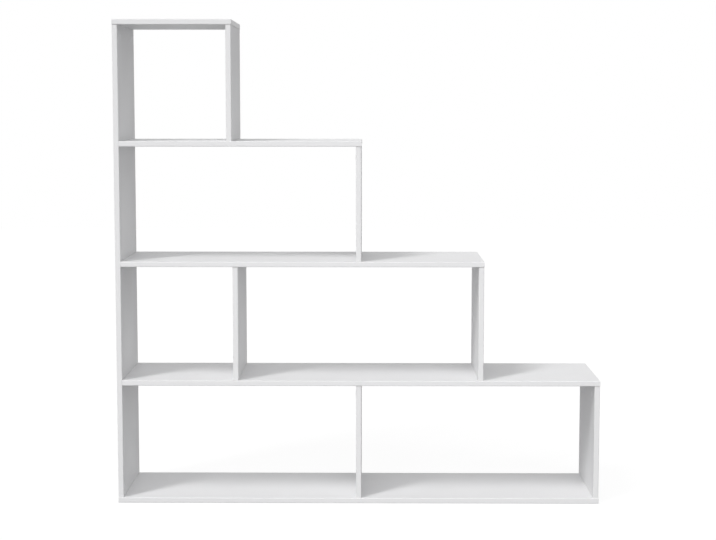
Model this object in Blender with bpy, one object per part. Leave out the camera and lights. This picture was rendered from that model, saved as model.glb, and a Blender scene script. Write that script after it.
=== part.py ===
"""Stepped bookcase of white melamine-faced boards, open at the front and at the back.

Five level boards and seven uprights make four tiers that step down to the right. Level boards lie on the
uprights below them, and the three shelves stop against the left side panel. Cam locks hold every joint
whose fastener would otherwise show on a top face, and long countersunk screws hold the others.
X runs to the right, Y from the front to the back and Z up. The origin is on the floor, under the middle of
the outline. Lengths are in metres.
"""
import math
from dataclasses import dataclass

import bmesh
import bpy
from mathutils import Matrix, Vector

# Carcass
WIDTH = 1.450
DEPTH = 0.290
BOARD = 0.016
TIER_HEIGHT = 0.3425
UPRIGHT_SETBACK = 0.002
END_OVERHANG = 0.001
ARRIS_RADIUS = 0.002
SEAM = 0.0003

# Clear widths from the left side panel to the end panel of each tier above the lowest
FIRST_TIER_CLEAR = 0.318
SECOND_TIER_CLEAR = 0.702
THIRD_TIER_CLEAR = 1.068

# Fasteners, measured in from the front and back edges of an upright, and their play in their holes
FASTENER_INSET = 0.050
RADIAL_PLAY = 0.0003
END_PLAY = 0.0005
OVERRUN = 0.002

# Cam locks, bored into the inner face of an upright near its top
CAM_RADIUS = 0.0072
CAM_REACH = 0.034
CAM_RECESS = 0.0013
CAM_BORE_FLOOR = 0.003
CAM_DRIVE_RADIUS = 0.0025
CAM_DRIVE_DEPTH = 0.0020
CAM_POCKET_PLAY = 0.0006

# Cam bolts, screwed up into the level board
THREAD_FLOOR = 0.004
THREAD_RADIUS = 0.0022
COLLAR_RADIUS = 0.0037
COLLAR_HEIGHT = 0.0015
SHANK_RADIUS = 0.0028
NECK_RADIUS = 0.0018
NECK_LENGTH = 0.004
HEAD_RADIUS = 0.0030
HEAD_LENGTH = 0.003

# Countersunk screws, driven through the face of one board into the edge of the next
SCREW_RADIUS = 0.0032
SCREW_GRIP = 0.034
SCREW_TIP_LENGTH = 0.004
SCREW_TIP_RADIUS = 0.001
SCREW_HEAD_RADIUS = 0.005
SCREW_HEAD_HEIGHT = 0.003
SCREW_HEAD_RECESS = 0.0015
SCREW_SOCKET_RADIUS = 0.0022
SCREW_SOCKET_DEPTH = 0.0022

CAM_SIDES = 20
SCREW_SIDES = 16
ARRIS_SEGMENTS = 3
SMOOTH_ANGLE = math.radians(40)
QUARTER_TURN = math.radians(90)
WELD = 1e-7

TO_LEFT = Vector((-1, 0, 0))
TO_RIGHT = Vector((1, 0, 0))
TO_FRONT = Vector((0, -1, 0))
TO_BACK = Vector((0, 1, 0))
UP = Vector((0, 0, 1))
DOWN = Vector((0, 0, -1))


def clear_scene():
    """Remove every object, so that the model starts from nothing."""
    for old in list(bpy.data.objects):
        bpy.data.objects.remove(old)


def linear_colour(hex_colour):
    """Turn an sRGB hex colour into the linear RGBA that a shader socket takes."""
    channels = [int(hex_colour[i:i + 2], 16) / 255 for i in (0, 2, 4)]
    return (*[c / 12.92 if c <= 0.04045 else ((c + 0.055) / 1.055) ** 2.4 for c in channels], 1)


def finish(name, hex_colour, roughness, metallic=0):
    """A Principled material."""
    material = bpy.data.materials.new(name)
    material.use_nodes = True
    shader = material.node_tree.nodes["Principled BSDF"]
    shader.inputs["Base Color"].default_value = linear_colour(hex_colour)
    shader.inputs["Roughness"].default_value = roughness
    shader.inputs["Metallic"].default_value = metallic
    return material


def mesh_from(bm, name):
    """Turn a bmesh into a mesh with smooth round faces."""
    mesh = bpy.data.meshes.new(name)
    bm.to_mesh(mesh)
    bm.free()
    mesh.shade_smooth()
    mesh.set_sharp_from_angle(angle=SMOOTH_ANGLE)
    return mesh


def add_object(name, mesh, place):
    """Put a mesh into the scene, at a place given as a matrix."""
    thing = bpy.data.objects.new(name, mesh)
    thing.matrix_world = place
    bpy.context.scene.collection.objects.link(thing)
    return thing


def add_box(bm, low, high):
    """Add a box between two corners."""
    size = Matrix.Diagonal((*(high - low), 1))
    bmesh.ops.create_cube(bm, size=1, matrix=Matrix.Translation((low + high) / 2) @ size)
    bm.normal_update()


def turned(name, profile, sides):
    """A closed body turned round Z from (radius, height) points that start and end on the axis."""
    bm = bmesh.new()
    verts = [bm.verts.new((radius, 0, height)) for radius, height in profile]
    edges = [bm.edges.new(pair) for pair in zip(verts, verts[1:])]
    bmesh.ops.spin(bm, geom=verts + edges, cent=Vector(), axis=UP, angle=math.tau, steps=sides,
                   use_merge=True)
    bmesh.ops.remove_doubles(bm, verts=bm.verts, dist=WELD)
    bmesh.ops.recalc_face_normals(bm, faces=bm.faces)
    return mesh_from(bm, name)


def cut(target, cutter):
    """Subtract a cutter, which stays as a hidden guide on the piece that it cuts."""
    cutter.hide_render = True
    cutter.display_type = "WIRE"
    cutter.parent = target
    cutter.matrix_parent_inverse = target.matrix_world.inverted()
    drill = target.modifiers.new(cutter.name, "BOOLEAN")
    drill.operation = "DIFFERENCE"
    drill.solver = "EXACT"
    drill.object = cutter


# Boards
@dataclass
class Board:
    """A finished board, and the sides that carry its rounded edge band."""
    low: Vector
    high: Vector
    banded: tuple

    def centre(self):
        return (self.low + self.high) / 2


FRONT = -DEPTH / 2
BACK = DEPTH / 2
LEFT = -WIDTH / 2
RIGHT = WIDTH / 2
INNER = LEFT + BOARD
UPRIGHT_FRONT = FRONT + UPRIGHT_SETBACK
FIRST_END = INNER + FIRST_TIER_CLEAR
SECOND_END = INNER + SECOND_TIER_CLEAR
THIRD_END = INNER + THIRD_TIER_CLEAR
FOURTH_END = RIGHT - END_OVERHANG - BOARD
CAPPED_END = BOARD + END_OVERHANG


def level_base(tiers_below):
    """Height of the underside of the level board that has this many tiers under it."""
    return tiers_below * (BOARD + TIER_HEIGHT)


def level_board(tiers_below, left, right, banded_ends):
    """A level board, banded along its front and back edges and on the ends that show."""
    low = Vector((left, FRONT, level_base(tiers_below)))
    high = Vector((right, BACK, low.z + BOARD))
    return Board(low, high, (TO_FRONT, TO_BACK, *banded_ends))


def upright(left, tiers_below, tiers_tall=1):
    """An upright between two level boards, banded along its front and back edges."""
    low = Vector((left, UPRIGHT_FRONT, level_base(tiers_below) + BOARD + SEAM))
    high = Vector((left + BOARD, BACK, level_base(tiers_below + tiers_tall) - SEAM))
    return Board(low, high, (TO_FRONT, TO_BACK))


BOARDS = {
    "top_board": level_board(4, LEFT, FIRST_END + CAPPED_END, (TO_LEFT, TO_RIGHT)),
    "second_shelf": level_board(3, INNER + SEAM, SECOND_END + CAPPED_END, (TO_RIGHT,)),
    "third_shelf": level_board(2, INNER + SEAM, THIRD_END + CAPPED_END, (TO_RIGHT,)),
    "fourth_shelf": level_board(1, INNER + SEAM, FOURTH_END + CAPPED_END, (TO_RIGHT,)),
    "bottom_board": level_board(0, LEFT, RIGHT, (TO_LEFT, TO_RIGHT)),
    "left_side_panel": upright(LEFT, 0, tiers_tall=4),
    "first_tier_end_panel": upright(FIRST_END, 3),
    "second_tier_end_panel": upright(SECOND_END, 2),
    "third_tier_end_panel": upright(THIRD_END, 1),
    "third_tier_divider": upright(FIRST_END + BOARD, 1),
    "fourth_tier_end_panel": upright(FOURTH_END, 0),
    "fourth_tier_divider": upright(SECOND_END, 0),
}


def long_arrises(bm, side):
    """The two long arrises on one side of a box."""
    face = next(face for face in bm.faces if face.normal.dot(side) > 0.99)
    return sorted(face.edges, key=lambda edge: edge.calc_length())[2:]


def make_board(name, board):
    """A board without its drillings, round on the long arrises of its banded sides."""
    bm = bmesh.new()
    add_box(bm, board.low - board.centre(), board.high - board.centre())
    arrises = [edge for side in board.banded for edge in long_arrises(bm, side)]
    bmesh.ops.bevel(bm, geom=arrises, offset=ARRIS_RADIUS, segments=ARRIS_SEGMENTS, profile=0.5,
                    affect="EDGES")
    return add_object(name, mesh_from(bm, name), Matrix.Translation(board.centre()))


# Fasteners that cross a joint. They are turned round Z: zero is the face that the joint closes on, up is
# into the board with that face, and down is into the edge of the other board.
SEAM_MIDDLE = -SEAM / 2


def make_cam_bolt():
    """A bolt with a thread, a collar that stops at the face, a shank, and a neck and head for the cam."""
    head_end = -CAM_REACH - HEAD_LENGTH / 2
    head_start = head_end + HEAD_LENGTH
    shank_end = head_start + NECK_LENGTH
    collar_end = -SEAM - COLLAR_HEIGHT
    thread_end = BOARD - THREAD_FLOOR - END_PLAY
    return turned("cam_bolt", (
        (0, head_end),
        (HEAD_RADIUS, head_end),
        (HEAD_RADIUS, head_start),
        (NECK_RADIUS, head_start),
        (NECK_RADIUS, shank_end),
        (SHANK_RADIUS, shank_end),
        (SHANK_RADIUS, collar_end),
        (COLLAR_RADIUS, collar_end),
        (COLLAR_RADIUS, -SEAM),
        (THREAD_RADIUS, -SEAM),
        (THREAD_RADIUS, thread_end),
        (0, thread_end)), SCREW_SIDES)


def make_bolt_hole():
    """The passage from the edge of the upright to the cam bore, and the blind hole for the thread."""
    passage_radius = COLLAR_RADIUS + RADIAL_PLAY
    thread_radius = THREAD_RADIUS + RADIAL_PLAY
    thread_end = BOARD - THREAD_FLOOR
    return turned("bolt_hole", (
        (0, -CAM_REACH),
        (passage_radius, -CAM_REACH),
        (passage_radius, SEAM_MIDDLE),
        (thread_radius, SEAM_MIDDLE),
        (thread_radius, thread_end),
        (0, thread_end)), SCREW_SIDES)


def make_screw():
    """A countersunk screw with a drive socket and a tapered tip."""
    head_top = BOARD - SCREW_HEAD_RECESS
    head_base = head_top - SCREW_HEAD_HEIGHT
    socket_floor = head_top - SCREW_SOCKET_DEPTH
    return turned("screw", (
        (0, -SCREW_GRIP),
        (SCREW_TIP_RADIUS, -SCREW_GRIP),
        (SCREW_RADIUS, -SCREW_GRIP + SCREW_TIP_LENGTH),
        (SCREW_RADIUS, head_base),
        (SCREW_HEAD_RADIUS, head_top),
        (SCREW_SOCKET_RADIUS, head_top),
        (SCREW_SOCKET_RADIUS, socket_floor),
        (0, socket_floor)), SCREW_SIDES)


def make_screw_hole():
    """The countersunk hole through the face board, and the blind hole in the other board's edge."""
    shank_radius = SCREW_RADIUS + RADIAL_PLAY
    head_radius = SCREW_HEAD_RADIUS + RADIAL_PLAY
    head_top = BOARD - SCREW_HEAD_RECESS - END_PLAY
    head_base = head_top - SCREW_HEAD_HEIGHT
    blind_end = -SCREW_GRIP - END_PLAY
    return turned("screw_hole", (
        (0, blind_end),
        (shank_radius, blind_end),
        (shank_radius, head_base),
        (head_radius, head_top),
        (head_radius, BOARD + OVERRUN),
        (0, BOARD + OVERRUN)), SCREW_SIDES)


# Cam locks. Zero is the face of the board that they are bored into, and up is out of it.
CAM_BORE_DEPTH = BOARD - CAM_BORE_FLOOR


def make_cam_lock():
    """A cam disc with a drive recess, and a side pocket that lets the head of its bolt in."""
    base = -CAM_BORE_DEPTH + SEAM
    drive_floor = -CAM_RECESS - CAM_DRIVE_DEPTH
    disc = add_object("cam_blank", turned("cam_blank", (
        (0, base),
        (CAM_RADIUS, base),
        (CAM_RADIUS, -CAM_RECESS),
        (CAM_DRIVE_RADIUS, -CAM_RECESS),
        (CAM_DRIVE_RADIUS, drive_floor),
        (0, drive_floor)), CAM_SIDES), Matrix())
    half = HEAD_RADIUS + CAM_POCKET_PLAY
    bm = bmesh.new()
    mouth = Vector((-CAM_RADIUS - OVERRUN, -half, -BOARD / 2 - half))
    add_box(bm, mouth, Vector((half, half, -BOARD / 2 + half)))
    pocket = add_object("cam_pocket", mesh_from(bm, "cam_pocket"), Matrix())
    cut(disc, pocket)
    bpy.context.view_layer.update()
    made = disc.evaluated_get(bpy.context.evaluated_depsgraph_get())
    cam = bpy.data.meshes.new_from_object(made)
    bpy.data.objects.remove(pocket)
    bpy.data.objects.remove(disc)
    return cam


def make_cam_bore():
    """The blind bore that a cam lock turns in."""
    radius = CAM_RADIUS + RADIAL_PLAY
    return turned("cam_bore", (
        (0, -CAM_BORE_DEPTH),
        (radius, -CAM_BORE_DEPTH),
        (radius, OVERRUN),
        (0, OVERRUN)), CAM_SIDES)


# Joints. Their places along the depth are the same in every upright.
JOINT_Y = (UPRIGHT_FRONT + BACK) / 2
FASTENER_PLACES = {"front": UPRIGHT_FRONT + FASTENER_INSET, "back": BACK - FASTENER_INSET}


def joint_frame(contact, into_face, cam_side):
    """Axes at the middle of a joint: Z into the board whose face it closes on, X to the cam side."""
    turn = Matrix((cam_side, into_face.cross(cam_side), into_face)).transposed().to_4x4()
    return Matrix.Translation(contact) @ turn


def top_joint(post, level, cam_side):
    """The joint between the top of an upright and the level board that lies on it."""
    contact = Vector((BOARDS[post].centre().x, JOINT_Y, BOARDS[level].low.z))
    return joint_frame(contact, UP, cam_side)


def foot_joint(post, level):
    """The joint between the foot of an upright and the level board that it stands on."""
    contact = Vector((BOARDS[post].centre().x, JOINT_Y, BOARDS[level].high.z))
    return joint_frame(contact, DOWN, TO_RIGHT)


def end_joint(shelf):
    """The joint between the left end of a shelf and the left side panel."""
    contact = Vector((INNER, JOINT_Y, BOARDS[shelf].centre().z))
    return joint_frame(contact, TO_LEFT, DOWN)


# Each upright that is cam locked, the level board on it, and the side that its cams open to
CAM_JOINTS = (
    ("left_side_panel", "top_board", TO_RIGHT),
    ("first_tier_end_panel", "top_board", TO_LEFT),
    ("second_tier_end_panel", "second_shelf", TO_LEFT),
    ("third_tier_divider", "third_shelf", TO_LEFT),
    ("third_tier_end_panel", "third_shelf", TO_LEFT),
    ("fourth_tier_divider", "fourth_shelf", TO_LEFT),
    ("fourth_tier_end_panel", "fourth_shelf", TO_LEFT),
)

# Each upright that is screwed from below, and the level board that it stands on
FOOT_JOINTS = (
    ("first_tier_end_panel", "second_shelf"),
    ("second_tier_end_panel", "third_shelf"),
    ("third_tier_divider", "fourth_shelf"),
    ("third_tier_end_panel", "fourth_shelf"),
    ("left_side_panel", "bottom_board"),
    ("fourth_tier_divider", "bottom_board"),
    ("fourth_tier_end_panel", "bottom_board"),
)

# Each shelf that is screwed through the left side panel
END_JOINTS = ("second_shelf", "third_shelf", "fourth_shelf")


def places_in(frame):
    """The front and back fastener places of a joint, by name."""
    for where, y in FASTENER_PLACES.items():
        yield where, Matrix.Translation((0, y - JOINT_Y, 0)) @ frame


def fit_cam_joints(holes):
    """Two cam locks and two cam bolts at the top of each cam locked upright."""
    zinc = finish("zinc_die_cast", "B9BBBD", 0.42, metallic=1)
    steel = finish("galvanised_bolt_steel", "C4C4BF", 0.35, metallic=1)
    cam, bore = make_cam_lock(), make_cam_bore()
    bolt, bolt_hole = make_cam_bolt(), make_bolt_hole()
    cam.materials.append(zinc)
    bolt.materials.append(steel)
    to_bore = Matrix.Translation((BOARD / 2, 0, -CAM_REACH)) @ Matrix.Rotation(QUARTER_TURN, 4, "Y")
    made = []
    for post, level, cam_side in CAM_JOINTS:
        for where, place in places_in(top_joint(post, level, cam_side)):
            made.append(add_object(f"{post}_{where}_cam_lock", cam, place @ to_bore))
            made.append(add_object(f"{post}_{where}_cam_bolt", bolt, place))
            holes[post] += [(bore, place @ to_bore), (bolt_hole, place)]
            holes[level].append((bolt_hole, place))
    return made


def fit_screws(holes):
    """Two screws at each foot joint and at each end joint."""
    steel = finish("galvanised_screw_steel", "C4C4BF", 0.35, metallic=1)
    screw, screw_hole = make_screw(), make_screw_hole()
    screw.materials.append(steel)
    joints = [(f"{post}_foot", post, level, foot_joint(post, level)) for post, level in FOOT_JOINTS]
    joints += [(f"{shelf}_left", shelf, "left_side_panel", end_joint(shelf)) for shelf in END_JOINTS]
    made = []
    for name, edge_board, face_board, frame in joints:
        for where, place in places_in(frame):
            made.append(add_object(f"{name}_{where}_screw", screw, place))
            for board in (edge_board, face_board):
                holes[board].append((screw_hole, place))
    return made


def drill(board, name, holes):
    """Cut each kind of hole out of a board with one cutter that holds all the holes of that kind."""
    for kind in {mesh.name: mesh for mesh, place in holes}.values():
        bm = bmesh.new()
        for mesh, place in holes:
            if mesh == kind:
                first = len(bm.verts)
                bm.from_mesh(mesh)
                bm.verts.ensure_lookup_table()
                bmesh.ops.transform(bm, matrix=place, verts=bm.verts[first:])
        cutter = f"{name}_{kind.name}s"
        cut(board, add_object(cutter, mesh_from(bm, cutter), Matrix()))


def build_bookcase():
    """Make the boards, fit the fasteners, drill the boards for them, and hang all on one empty."""
    clear_scene()
    melamine = finish("white_melamine_board", "EBEBEA", 0.42)
    boards = {name: make_board(name, board) for name, board in BOARDS.items()}
    holes = {name: [] for name in boards}
    fasteners = fit_cam_joints(holes) + fit_screws(holes)
    for name, board in boards.items():
        board.data.materials.append(melamine)
        drill(board, name, holes[name])
    bookcase = add_object("bookcase", None, Matrix())
    for thing in [*boards.values(), *fasteners]:
        thing.parent = bookcase


build_bookcase()
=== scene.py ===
"""Looks of the stepped bookcase: white melamine-faced boards with ABS edge bands, their steel and zinc
fittings and the plastic caps over them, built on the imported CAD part."""
import math

import bpy
import numpy as np
from mathutils import Euler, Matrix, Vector


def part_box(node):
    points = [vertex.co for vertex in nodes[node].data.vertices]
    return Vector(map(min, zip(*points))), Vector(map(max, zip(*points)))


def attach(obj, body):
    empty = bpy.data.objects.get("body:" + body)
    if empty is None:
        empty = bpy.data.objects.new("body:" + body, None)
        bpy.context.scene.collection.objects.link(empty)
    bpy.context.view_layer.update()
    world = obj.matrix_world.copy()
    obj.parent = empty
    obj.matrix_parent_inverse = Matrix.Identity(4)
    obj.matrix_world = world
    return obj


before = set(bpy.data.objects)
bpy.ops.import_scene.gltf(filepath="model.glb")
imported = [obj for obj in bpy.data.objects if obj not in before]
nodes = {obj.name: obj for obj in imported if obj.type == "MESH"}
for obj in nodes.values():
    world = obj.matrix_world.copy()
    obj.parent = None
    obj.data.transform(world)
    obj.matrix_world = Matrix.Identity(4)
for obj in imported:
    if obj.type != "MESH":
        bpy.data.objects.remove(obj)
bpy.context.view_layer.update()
scene = bpy.context.scene
MM = 0.001

# Camera. The photograph is square to the front, taken above the middle of the object, and its upright
# lines stay upright. A lens shift of 198 pixels would do that, and would push the object out of the other
# views, so most of it is a small downward tilt instead.
PHOTO_WIDTH = 716
SENSOR_WIDTH = 36
CAMERA_PLACE = (0.0320, -4.2375, 1.1995)
CAMERA_LENS = 69.60
CAMERA_TILT = math.radians(4.85)
CAMERA_TURN = math.radians(0.46)
SHIFT_PIXELS = 48

lens = bpy.data.cameras.new("photo_camera")
lens.sensor_width = SENSOR_WIDTH
lens.lens = CAMERA_LENS
lens.shift_y = -SHIFT_PIXELS / PHOTO_WIDTH
camera = bpy.data.objects.new("photo_camera", lens)
camera.location = CAMERA_PLACE
camera.rotation_euler = Euler((math.radians(90) - CAMERA_TILT, 0, CAMERA_TURN))
scene.collection.objects.link(camera)
scene.camera = camera

# Studio light. The key is a tall strip on the left in front, made of three lamps one over the other, so the
# uprights draw crisp shadows and the shelves soft ones. A wide lamp and a near soft box in front fill them.
# The room is grey, lighter towards the backdrop, and cameras, gloss and glass see it as plain white.
WHITE = "FFFFFF"
ROOM_LEVEL = 0.28
BACKDROP_LEVEL = 0.80
KEY_TURN = math.radians(46)
KEY_LAMPS = {"key_low": (44, 0.38), "key_middle": (53, 0.58), "key_high": (62, 0.44)}
KEY_ANGLE = math.radians(9)
FRONT_TRAVEL = (0, 0.82, -0.57)
FRONT_STRENGTH = 1.0
FRONT_ANGLE = math.radians(70)
BOX_PLACE = (0, -2.6, 0.9)
BOX_AIM = (0, 0, 0.3)
BOX_WIDTH = 2.4
BOX_HEIGHT = 1.0
BOX_POWER = 18.5


def linear(hex_colour):
    """An sRGB hex colour as linear RGBA, by the sRGB transfer curve."""
    srgb = np.array([int(hex_colour[i:i + 2], 16) for i in (0, 2, 4)]) / 255
    return (*np.where(srgb <= 0.04045, srgb / 12.92, ((srgb + 0.055) / 1.055) ** 2.4), 1)


def add_node(tree, kind, settings=None, values=None, links=None):
    """A node of a material or world, with its settings, its socket values and its links from outputs.
    A socket goes by its name, or by its number where several sockets share a name."""
    node = tree.nodes.new(kind)
    for name, value in (settings or {}).items():
        setattr(node, name, value)
    for socket, value in (values or {}).items():
        node.inputs[socket].default_value = value
    for socket, output in (links or {}).items():
        tree.links.new(output, node.inputs[socket])
    return node


def seen_directly(tree):
    """One for camera, glossy and transmission rays, and zero for the rays that light the object."""
    path = add_node(tree, "ShaderNodeLightPath")
    either = {"operation": "MAXIMUM"}
    seen = add_node(tree, "ShaderNodeMath", either, links={
        0: path.outputs["Is Camera Ray"], 1: path.outputs["Is Glossy Ray"]})
    return add_node(tree, "ShaderNodeMath", either, links={
        0: seen.outputs["Value"], 1: path.outputs["Is Transmission Ray"]}).outputs["Value"]


def add_lamp(name, kind, place, travel, **settings):
    """A lamp at a place, with its light travelling one way, that no camera sees."""
    light = bpy.data.lights.new(name, kind)
    for setting, value in settings.items():
        setattr(light, setting, value)
    lamp = bpy.data.objects.new(name, light)
    lamp.location = place
    lamp.rotation_euler = Vector(travel).to_track_quat("-Z", "Y").to_euler()
    lamp.visible_camera = False
    scene.collection.objects.link(lamp)
    return lamp


studio = bpy.data.worlds.new("studio")
studio.use_nodes = True
sky = studio.node_tree
sky.nodes.clear()
direction = add_node(sky, "ShaderNodeTexCoord").outputs["Generated"]
backward = add_node(sky, "ShaderNodeSeparateXYZ", links={"Vector": direction}).outputs["Y"]
level = add_node(sky, "ShaderNodeMapRange", values={"To Min": ROOM_LEVEL, "To Max": BACKDROP_LEVEL},
                 links={"Value": backward})
room = add_node(sky, "ShaderNodeBackground", values={"Color": linear(WHITE)},
                links={"Strength": level.outputs["Result"]})
backdrop = add_node(sky, "ShaderNodeBackground", values={"Color": linear(WHITE)})
either_sky = add_node(sky, "ShaderNodeMixShader", links={
    "Fac": seen_directly(sky), 1: room.outputs["Background"], 2: backdrop.outputs["Background"]})
add_node(sky, "ShaderNodeOutputWorld", links={"Surface": either_sky.outputs["Shader"]})
scene.world = studio
scene.view_settings.view_transform = "Standard"

for name, (height, strength) in KEY_LAMPS.items():
    travel = (math.sin(KEY_TURN), math.cos(KEY_TURN), -math.tan(math.radians(height)))
    add_lamp(name, "SUN", -Vector(travel), travel, energy=strength, angle=KEY_ANGLE)
add_lamp("front_lamp", "SUN", -Vector(FRONT_TRAVEL), FRONT_TRAVEL, energy=FRONT_STRENGTH, angle=FRONT_ANGLE)
soft_box = add_lamp("soft_box", "AREA", BOX_PLACE, Vector(BOX_AIM) - Vector(BOX_PLACE), energy=BOX_POWER,
                    shape="RECTANGLE", size=BOX_WIDTH, size_y=BOX_HEIGHT)
soft_box.visible_glossy = False

# Floor. A pale matt sheet that the bookcase stands on. It lights the object from below as a grey floor
# does, and cameras see it as white, with a faint shadow of the object.
FLOOR_HALF = 9.0
FLOOR_DROP = 0.5 * MM
FLOOR_COLOUR = "8A8A8A"
FLOOR_SHADOW_SHARE = 0.10
FLOOR_GLOW = 1.03


def new_material(name):
    """An empty node material and its tree."""
    material = bpy.data.materials.new(name)
    material.use_nodes = True
    material.node_tree.nodes.clear()
    return material, material.node_tree


floor_corners = np.array([(-1, -1), (1, -1), (1, 1), (-1, 1)]) * FLOOR_HALF
floor_points = np.column_stack((floor_corners, np.full(len(floor_corners), -FLOOR_DROP)))
floor_mesh = bpy.data.meshes.new("studio_floor")
floor_mesh.from_pydata(floor_points.tolist(), [], [range(len(floor_points))])
floor = bpy.data.objects.new("studio_floor", floor_mesh)
scene.collection.objects.link(floor)
floor_paint, tree = new_material("matt_floor_paint")
lighting = add_node(tree, "ShaderNodeBsdfDiffuse", values={"Color": linear(FLOOR_COLOUR)})
shadowed = add_node(tree, "ShaderNodeBsdfDiffuse", values={"Color": linear(WHITE)})
glow = add_node(tree, "ShaderNodeEmission", values={"Color": linear(WHITE), "Strength": FLOOR_GLOW})
seen_floor = add_node(tree, "ShaderNodeMixShader", values={"Fac": FLOOR_SHADOW_SHARE}, links={
    1: glow.outputs["Emission"], 2: shadowed.outputs["BSDF"]})
either_floor = add_node(tree, "ShaderNodeMixShader", links={
    "Fac": seen_directly(tree), 1: lighting.outputs["BSDF"], 2: seen_floor.outputs["Shader"]})
add_node(tree, "ShaderNodeOutputMaterial", links={"Surface": either_floor.outputs["Shader"]})
floor_mesh.materials.append(floor_paint)

# Boards. Chipboard, 16 mm thick, faced on both sides with white melamine foil that was pressed on with a
# finely pearled plate. The shelves lie on the uprights and stop against the left side panel. The CAD
# boards have the right shape, so they stay, and each kind of face gets its own finish.
LEVEL_BOARDS = ("top_board", "second_shelf", "third_shelf", "fourth_shelf", "bottom_board")
UPRIGHTS = ("left_side_panel", "first_tier_end_panel", "second_tier_end_panel", "third_tier_end_panel",
            "fourth_tier_end_panel", "third_tier_divider", "fourth_tier_divider")
BAND_THICKNESS = 2 * MM
FOIL_LIGHT = "E8E8E9"
FOIL_DARK = "E3E3E4"
FOIL_CLOUD = 160 * MM
FOIL_CLOUD_DETAIL = 3
FOIL_PEARL = 4 * MM
FOIL_PEARL_DETAIL = 1
PEARL_DEPTH = 0.012 * MM
FOIL_ROUGHNESS = (0.52, 0.60)
FOIL_SPECULAR = 0.2
GLUE_LINE_WIDTH = 0.4 * MM
GLUE_LINE_COLOUR = "D2D2D0"


def band_borders(board):
    """The planes where the foil meets an edge band, as (axis, place), for a board of the frame."""
    low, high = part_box(board)
    borders = [("Y", low.y + BAND_THICKNESS), ("Y", high.y - BAND_THICKNESS)]
    if board in LEVEL_BOARDS:
        borders += [("X", low.x + BAND_THICKNESS), ("X", high.x - BAND_THICKNESS)]
    return borders


def melamine_foil(board):
    """Melamine foil, pressed: an even white, clouded a little over the length of a hand, whose satin sheen
    is broken up by a fine pearl. The pearl of the plate is about 1 mm wide, and is drawn coarser so that
    it shows in the render. The glue line is 0.1 mm wide on the real board, and is drawn wider for the same
    reason. In a colour Mix node the colours are sockets 6 and 7, and the result is output 2."""
    material, tree = new_material(f"melamine_foil_{board}")
    place = add_node(tree, "ShaderNodeTexCoord").outputs["Object"]
    cloud = add_node(tree, "ShaderNodeTexNoise", values={
        "Scale": 1 / FOIL_CLOUD, "Detail": FOIL_CLOUD_DETAIL}, links={"Vector": place}).outputs["Fac"]
    tint = add_node(tree, "ShaderNodeMix", {"data_type": "RGBA"}, {
        6: linear(FOIL_LIGHT), 7: linear(FOIL_DARK)}, {0: cloud}).outputs[2]
    axes = add_node(tree, "ShaderNodeSeparateXYZ", links={"Vector": place})
    for axis, border in band_borders(board):
        line = add_node(tree, "ShaderNodeMath", {"operation": "COMPARE"}, {
            1: border, 2: GLUE_LINE_WIDTH / 2}, {0: axes.outputs[axis]}).outputs["Value"]
        tint = add_node(tree, "ShaderNodeMix", {"data_type": "RGBA"}, {
            7: linear(GLUE_LINE_COLOUR)}, {0: line, 6: tint}).outputs[2]
    rough = add_node(tree, "ShaderNodeMapRange", values={
        "To Min": FOIL_ROUGHNESS[0], "To Max": FOIL_ROUGHNESS[1]}, links={"Value": cloud}).outputs["Result"]
    pearl = add_node(tree, "ShaderNodeTexNoise", values={
        "Scale": 1 / FOIL_PEARL, "Detail": FOIL_PEARL_DETAIL}, links={"Vector": place}).outputs["Fac"]
    bump = add_node(tree, "ShaderNodeBump", values={"Distance": PEARL_DEPTH}, links={
        "Height": pearl}).outputs["Normal"]
    shader = add_node(tree, "ShaderNodeBsdfPrincipled", values={"Specular IOR Level": FOIL_SPECULAR}, links={
        "Base Color": tint, "Roughness": rough, "Normal": bump})
    add_node(tree, "ShaderNodeOutputMaterial", links={"Surface": shader.outputs["BSDF"]})
    return material


# Edge bands. White ABS strip, 2 mm thick and extruded, glued on and milled round: along all four edges of
# a level board, and along the front and back edges of an upright.
BAND_LIGHT = "E9E9EA"
BAND_DARK = "E4E4E5"
BAND_LINE = 1.5 * MM
BAND_LINE_LENGTH = 400 * MM
BAND_LINE_DETAIL = 2
BAND_LINE_DEPTH = 0.006 * MM
BAND_ROUGHNESS = 0.42
BAND_SPECULAR = 0.25


def abs_band(name, along):
    """ABS strip, extruded: the same white as the foil, a little glossier, with faint lines along it. The
    lines are a few tenths of a millimetre wide on real strip, and are drawn coarser so that they show."""
    material, tree = new_material(name)
    place = add_node(tree, "ShaderNodeTexCoord").outputs["Object"]
    scale = [1 / BAND_LINE_LENGTH if axis == along else 1 / BAND_LINE for axis in "XYZ"]
    drawn = add_node(tree, "ShaderNodeMapping", values={"Scale": scale}, links={
        "Vector": place}).outputs["Vector"]
    lines = add_node(tree, "ShaderNodeTexNoise", values={"Scale": 1, "Detail": BAND_LINE_DETAIL}, links={
        "Vector": drawn}).outputs["Fac"]
    colour = add_node(tree, "ShaderNodeMix", {"data_type": "RGBA"}, {
        6: linear(BAND_LIGHT), 7: linear(BAND_DARK)}, {0: lines}).outputs[2]
    bump = add_node(tree, "ShaderNodeBump", values={"Distance": BAND_LINE_DEPTH}, links={
        "Height": lines}).outputs["Normal"]
    shader = add_node(tree, "ShaderNodeBsdfPrincipled", values={
        "Roughness": BAND_ROUGHNESS, "Specular IOR Level": BAND_SPECULAR}, links={
        "Base Color": colour, "Normal": bump})
    add_node(tree, "ShaderNodeOutputMaterial", links={"Surface": shader.outputs["BSDF"]})
    return material


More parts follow.
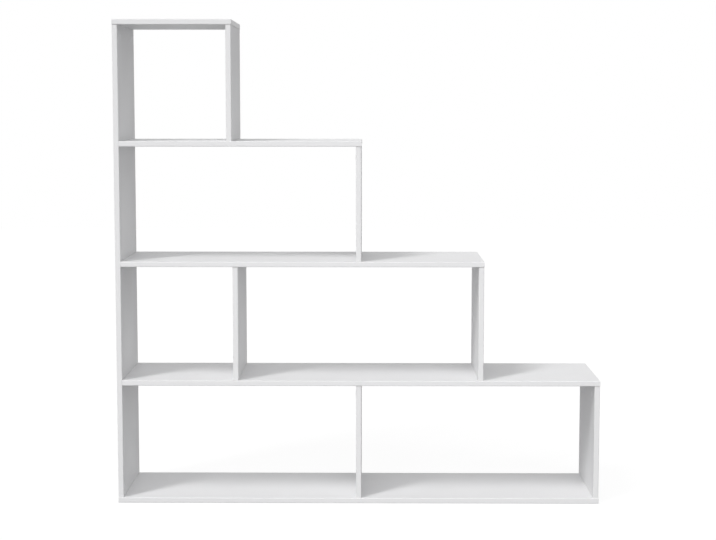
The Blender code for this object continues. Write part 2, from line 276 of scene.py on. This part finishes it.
# Chipboard core. Wood chips and glue, pressed flat, then sawn to size and bored. It shows only inside the
# bores and on the ends of the uprights, which the joints hide, so each board's faces are sorted here into
# foil, band and core.
CHIP = 3 * MM
CHIP_LIGHT = "D9BE94"
CHIP_DARK = "9C7A4C"
CHIP_DEPTH = 0.2 * MM
CHIP_ROUGHNESS = 0.9
FOIL, BAND, CORE = range(3)
FACE_REACH = 0.05 * MM


def raw_chipboard():
    """Chipboard, sawn or bored: matt, with pale and dark wood chips."""
    material, tree = new_material("raw_chipboard")
    place = add_node(tree, "ShaderNodeTexCoord").outputs["Object"]
    chips = add_node(tree, "ShaderNodeTexVoronoi", values={"Scale": 1 / CHIP}, links={"Vector": place})
    shade = add_node(tree, "ShaderNodeSeparateColor", links={"Color": chips.outputs["Color"]}).outputs["Red"]
    colour = add_node(tree, "ShaderNodeMix", {"data_type": "RGBA"}, {
        6: linear(CHIP_LIGHT), 7: linear(CHIP_DARK)}, {0: shade}).outputs[2]
    bump = add_node(tree, "ShaderNodeBump", values={"Distance": CHIP_DEPTH}, links={
        "Height": chips.outputs["Distance"]}).outputs["Normal"]
    shader = add_node(tree, "ShaderNodeBsdfPrincipled", values={"Roughness": CHIP_ROUGHNESS}, links={
        "Base Color": colour, "Normal": bump})
    add_node(tree, "ShaderNodeOutputMaterial", links={"Surface": shader.outputs["BSDF"]})
    return material


def face_kinds(board, mesh):
    """Which finish each face of a board takes, from where its middle lies: within a band's thickness of a
    banded side it is band, on a broad side it is foil, and anywhere else it is core."""
    low, high = (np.array(corner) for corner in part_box(board))
    middle = np.empty(len(mesh.polygons) * 3)
    mesh.polygons.foreach_get("center", middle)
    middle = middle.reshape(-1, 3)
    inward = np.minimum(middle - low, high - middle)
    on_foil = inward[:, np.argmin(high - low)] < FACE_REACH
    banded_axes = [0, 1] if board in LEVEL_BOARDS else [1]
    on_band = (inward[:, banded_axes] < BAND_THICKNESS - FACE_REACH).any(axis=1)
    return np.where(on_band, BAND, np.where(on_foil, FOIL, CORE)).astype(np.int32)


level_band = abs_band("abs_band_level", "X")
upright_band = abs_band("abs_band_upright", "Z")
chipboard = raw_chipboard()
for board in LEVEL_BOARDS + UPRIGHTS:
    mesh = nodes[board].data
    mesh.materials.clear()
    mesh.materials.append(melamine_foil(board))
    mesh.materials.append(level_band if board in LEVEL_BOARDS else upright_band)
    mesh.materials.append(chipboard)
    mesh.polygons.foreach_set("material_index", face_kinds(board, mesh))
    mesh.update()

# Cam locks and their bolts, and the countersunk screws. The locks are zinc die-castings, the bolts and
# screws galvanised steel, and all of them sit in their bores as the CAD has them.
ZINC_LIGHT = "B9BBBD"
ZINC_DARK = "9A9C9F"
ZINC_GRAIN = 2 * MM
ZINC_ROUGHNESS = (0.38, 0.52)
STEEL_LIGHT = "C9C9C2"
STEEL_DARK = "A9AAA6"
STEEL_GRAIN = 1.5 * MM
STEEL_ROUGHNESS = (0.28, 0.42)
METAL_DETAIL = 3


def fitting_metal(name, light, dark, grain, roughness):
    """A fitting's metal, as cast or plated: even in colour, with a sheen that varies from grain to grain."""
    material, tree = new_material(name)
    place = add_node(tree, "ShaderNodeTexCoord").outputs["Object"]
    mottle = add_node(tree, "ShaderNodeTexNoise", values={
        "Scale": 1 / grain, "Detail": METAL_DETAIL}, links={"Vector": place}).outputs["Fac"]
    colour = add_node(tree, "ShaderNodeMix", {"data_type": "RGBA"}, {
        6: linear(light), 7: linear(dark)}, {0: mottle}).outputs[2]
    rough = add_node(tree, "ShaderNodeMapRange", values={
        "To Min": roughness[0], "To Max": roughness[1]}, links={"Value": mottle}).outputs["Result"]
    shader = add_node(tree, "ShaderNodeBsdfPrincipled", values={"Metallic": 1}, links={
        "Base Color": colour, "Roughness": rough})
    add_node(tree, "ShaderNodeOutputMaterial", links={"Surface": shader.outputs["BSDF"]})
    return material


zinc = fitting_metal("zinc_die_cast", ZINC_LIGHT, ZINC_DARK, ZINC_GRAIN, ZINC_ROUGHNESS)
steel = fitting_metal("galvanised_steel", STEEL_LIGHT, STEEL_DARK, STEEL_GRAIN, STEEL_ROUGHNESS)
for name, node in nodes.items():
    if name not in LEVEL_BOARDS + UPRIGHTS:
        node.data.materials.clear()
        node.data.materials.append(zinc if name.endswith("cam_lock") else steel)

# Cam covers. Round caps moulded in white polyethylene. Each is pressed into the mouth of the bore over a
# cam lock, and its thin crowned flange lies on the board and hides the bore.
COVER_RADIUS = 8.8 * MM
COVER_RIM = 0.6 * MM
COVER_CROWN = 1.1 * MM
COVER_EDGE = 0.4 * MM
COVER_PLUG_RADIUS = 6.8 * MM
COVER_PLUG_DEPTH = 1.1 * MM
CAP_SIDES = 48
CROWN_STEPS = 8
EDGE_STEPS = 4
GATE_RADIUS = 0.6 * MM
GATE_DEPTH = 0.15 * MM
SHARP_ANGLE = math.radians(35)
CAP_COLOUR = "E9E9EA"
CAP_CLOUD = 3 * MM
CAP_CLOUD_DETAIL = 2
CAP_ROUGHNESS = (0.36, 0.46)
CAP_SPECULAR = 0.2


def capped_profile(radius, rim, crown, edge, plug_radius, plug_depth):
    """Half outline of a cap, as (radius, height) rows from the axis below to the axis above: a plug, a
    flat flange, a quarter circle round its edge, a crown that falls as the square of the radius, and a
    small dimple in the middle where the plastic was let in."""
    turn = np.linspace(0, np.pi / 2, EDGE_STEPS + 1)
    edge_curve = np.column_stack((radius - edge + edge * np.cos(turn), rim - edge + edge * np.sin(turn)))
    reach = np.linspace(radius - edge, GATE_RADIUS, CROWN_STEPS + 1)[1:]
    share = reach / (radius - edge)
    crown_curve = np.column_stack((reach, rim + (crown - rim) * (1 - share ** 2)))
    plug = np.array([(0, -plug_depth), (plug_radius, -plug_depth), (plug_radius, 0), (radius, 0)])
    gate = np.array([(0, crown - GATE_DEPTH)])
    return np.vstack((plug, edge_curve, crown_curve, gate))


def turned_surface(name, profile, centre, outward):
    """A closed surface made by turning a half outline round an axis. A point at the angle a and at the
    outline's radius r and height h lies at centre + r (cos a across + sin a aside) + h outward."""
    outward = np.array(outward, float)
    across = np.roll(outward, 1)
    aside = np.cross(outward, across)
    angle = np.arange(CAP_SIDES) * 2 * np.pi / CAP_SIDES
    spoke = np.cos(angle)[:, None] * across + np.sin(angle)[:, None] * aside
    rings = profile[1:-1]
    points = rings[:, 0, None, None] * spoke + rings[:, 1, None, None] * outward
    poles = profile[[0, -1], 1, None] * outward
    verts = np.vstack((points.reshape(-1, 3), poles)) + np.array(centre)
    start = np.arange(CAP_SIDES)
    after = (start + 1) % CAP_SIDES
    ring = np.arange(len(rings) - 1)[:, None] * CAP_SIDES
    above = ring + CAP_SIDES
    quads = np.stack((ring + start, ring + after, above + after, above + start), -1)
    last = (len(rings) - 1) * CAP_SIDES
    low_pole = np.full(CAP_SIDES, len(verts) - 2)
    high_pole = np.full(CAP_SIDES, len(verts) - 1)
    fans = np.vstack((np.column_stack((low_pole, after, start)),
                      np.column_stack((high_pole, last + start, last + after))))
    mesh = bpy.data.meshes.new(name)
    mesh.from_pydata(verts.tolist(), [], quads.reshape(-1, 4).tolist() + fans.tolist())
    mesh.shade_smooth()
    mesh.set_sharp_from_angle(angle=SHARP_ANGLE)
    piece = bpy.data.objects.new(name, mesh)
    scene.collection.objects.link(piece)
    return piece


def cap_plastic():
    """White polyethylene, moulded: a soft gloss with a faint cloud from the mould."""
    material, tree = new_material("moulded_cap_plastic")
    place = add_node(tree, "ShaderNodeTexCoord").outputs["Object"]
    cloud = add_node(tree, "ShaderNodeTexNoise", values={
        "Scale": 1 / CAP_CLOUD, "Detail": CAP_CLOUD_DETAIL}, links={"Vector": place}).outputs["Fac"]
    rough = add_node(tree, "ShaderNodeMapRange", values={
        "To Min": CAP_ROUGHNESS[0], "To Max": CAP_ROUGHNESS[1]}, links={"Value": cloud}).outputs["Result"]
    shader = add_node(tree, "ShaderNodeBsdfPrincipled", values={
        "Base Color": linear(CAP_COLOUR), "Specular IOR Level": CAP_SPECULAR}, links={"Roughness": rough})
    add_node(tree, "ShaderNodeOutputMaterial", links={"Surface": shader.outputs["BSDF"]})
    return material


def fit_cap(name, profile, centre, outward, material):
    """Turn a cap in its place and hang it on the bookcase."""
    cap = turned_surface(name, profile, centre, outward)
    cap.data.materials.append(material)
    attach(cap, "root")


plastic = cap_plastic()
cover_profile = capped_profile(COVER_RADIUS, COVER_RIM, COVER_CROWN, COVER_EDGE,
                               COVER_PLUG_RADIUS, COVER_PLUG_DEPTH)
for cam_lock in [name for name in nodes if name.endswith("_cam_lock")]:
    upright = cam_lock.rsplit("_", 3)[0]
    upright_low, upright_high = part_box(upright)
    cam_low, cam_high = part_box(cam_lock)
    middle = (cam_low + cam_high) / 2
    opens_right = upright_high.x - cam_high.x < cam_low.x - upright_low.x
    face = upright_high.x if opens_right else upright_low.x
    fit_cap(cam_lock.replace("cam_lock", "cam_cover"), cover_profile, (face, middle.y, middle.z),
            (1 if opens_right else -1, 0, 0), plastic)

# Screw caps. Small moulded caps, pressed flush into the countersinks that show: those in the outer face
# of the left side panel and those under the three shelves. The bottom board's face the floor and have none.
SCREW_CAP_RADIUS = 5.15 * MM
SCREW_CAP_RIM = 1.35 * MM
SCREW_CAP_CROWN = 1.45 * MM
SCREW_CAP_EDGE = 0.25 * MM
SCREW_CAP_PLUG_RADIUS = 2.0 * MM
SCREW_CAP_PLUG_DEPTH = 1.5 * MM

screw_cap_profile = capped_profile(SCREW_CAP_RADIUS, SCREW_CAP_RIM, SCREW_CAP_CROWN, SCREW_CAP_EDGE,
                                   SCREW_CAP_PLUG_RADIUS, SCREW_CAP_PLUG_DEPTH)
bottom_board_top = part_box("bottom_board")[1].z
for screw in [name for name in nodes if name.endswith("_screw")]:
    low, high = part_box(screw)
    middle = (low + high) / 2
    if "_foot_" not in screw:
        fit_cap(f"{screw}_cap", screw_cap_profile, (low.x, middle.y, middle.z), (-1, 0, 0), plastic)
    elif low.z > bottom_board_top:
        fit_cap(f"{screw}_cap", screw_cap_profile, (middle.x, middle.y, low.z), (0, 0, -1), plastic)
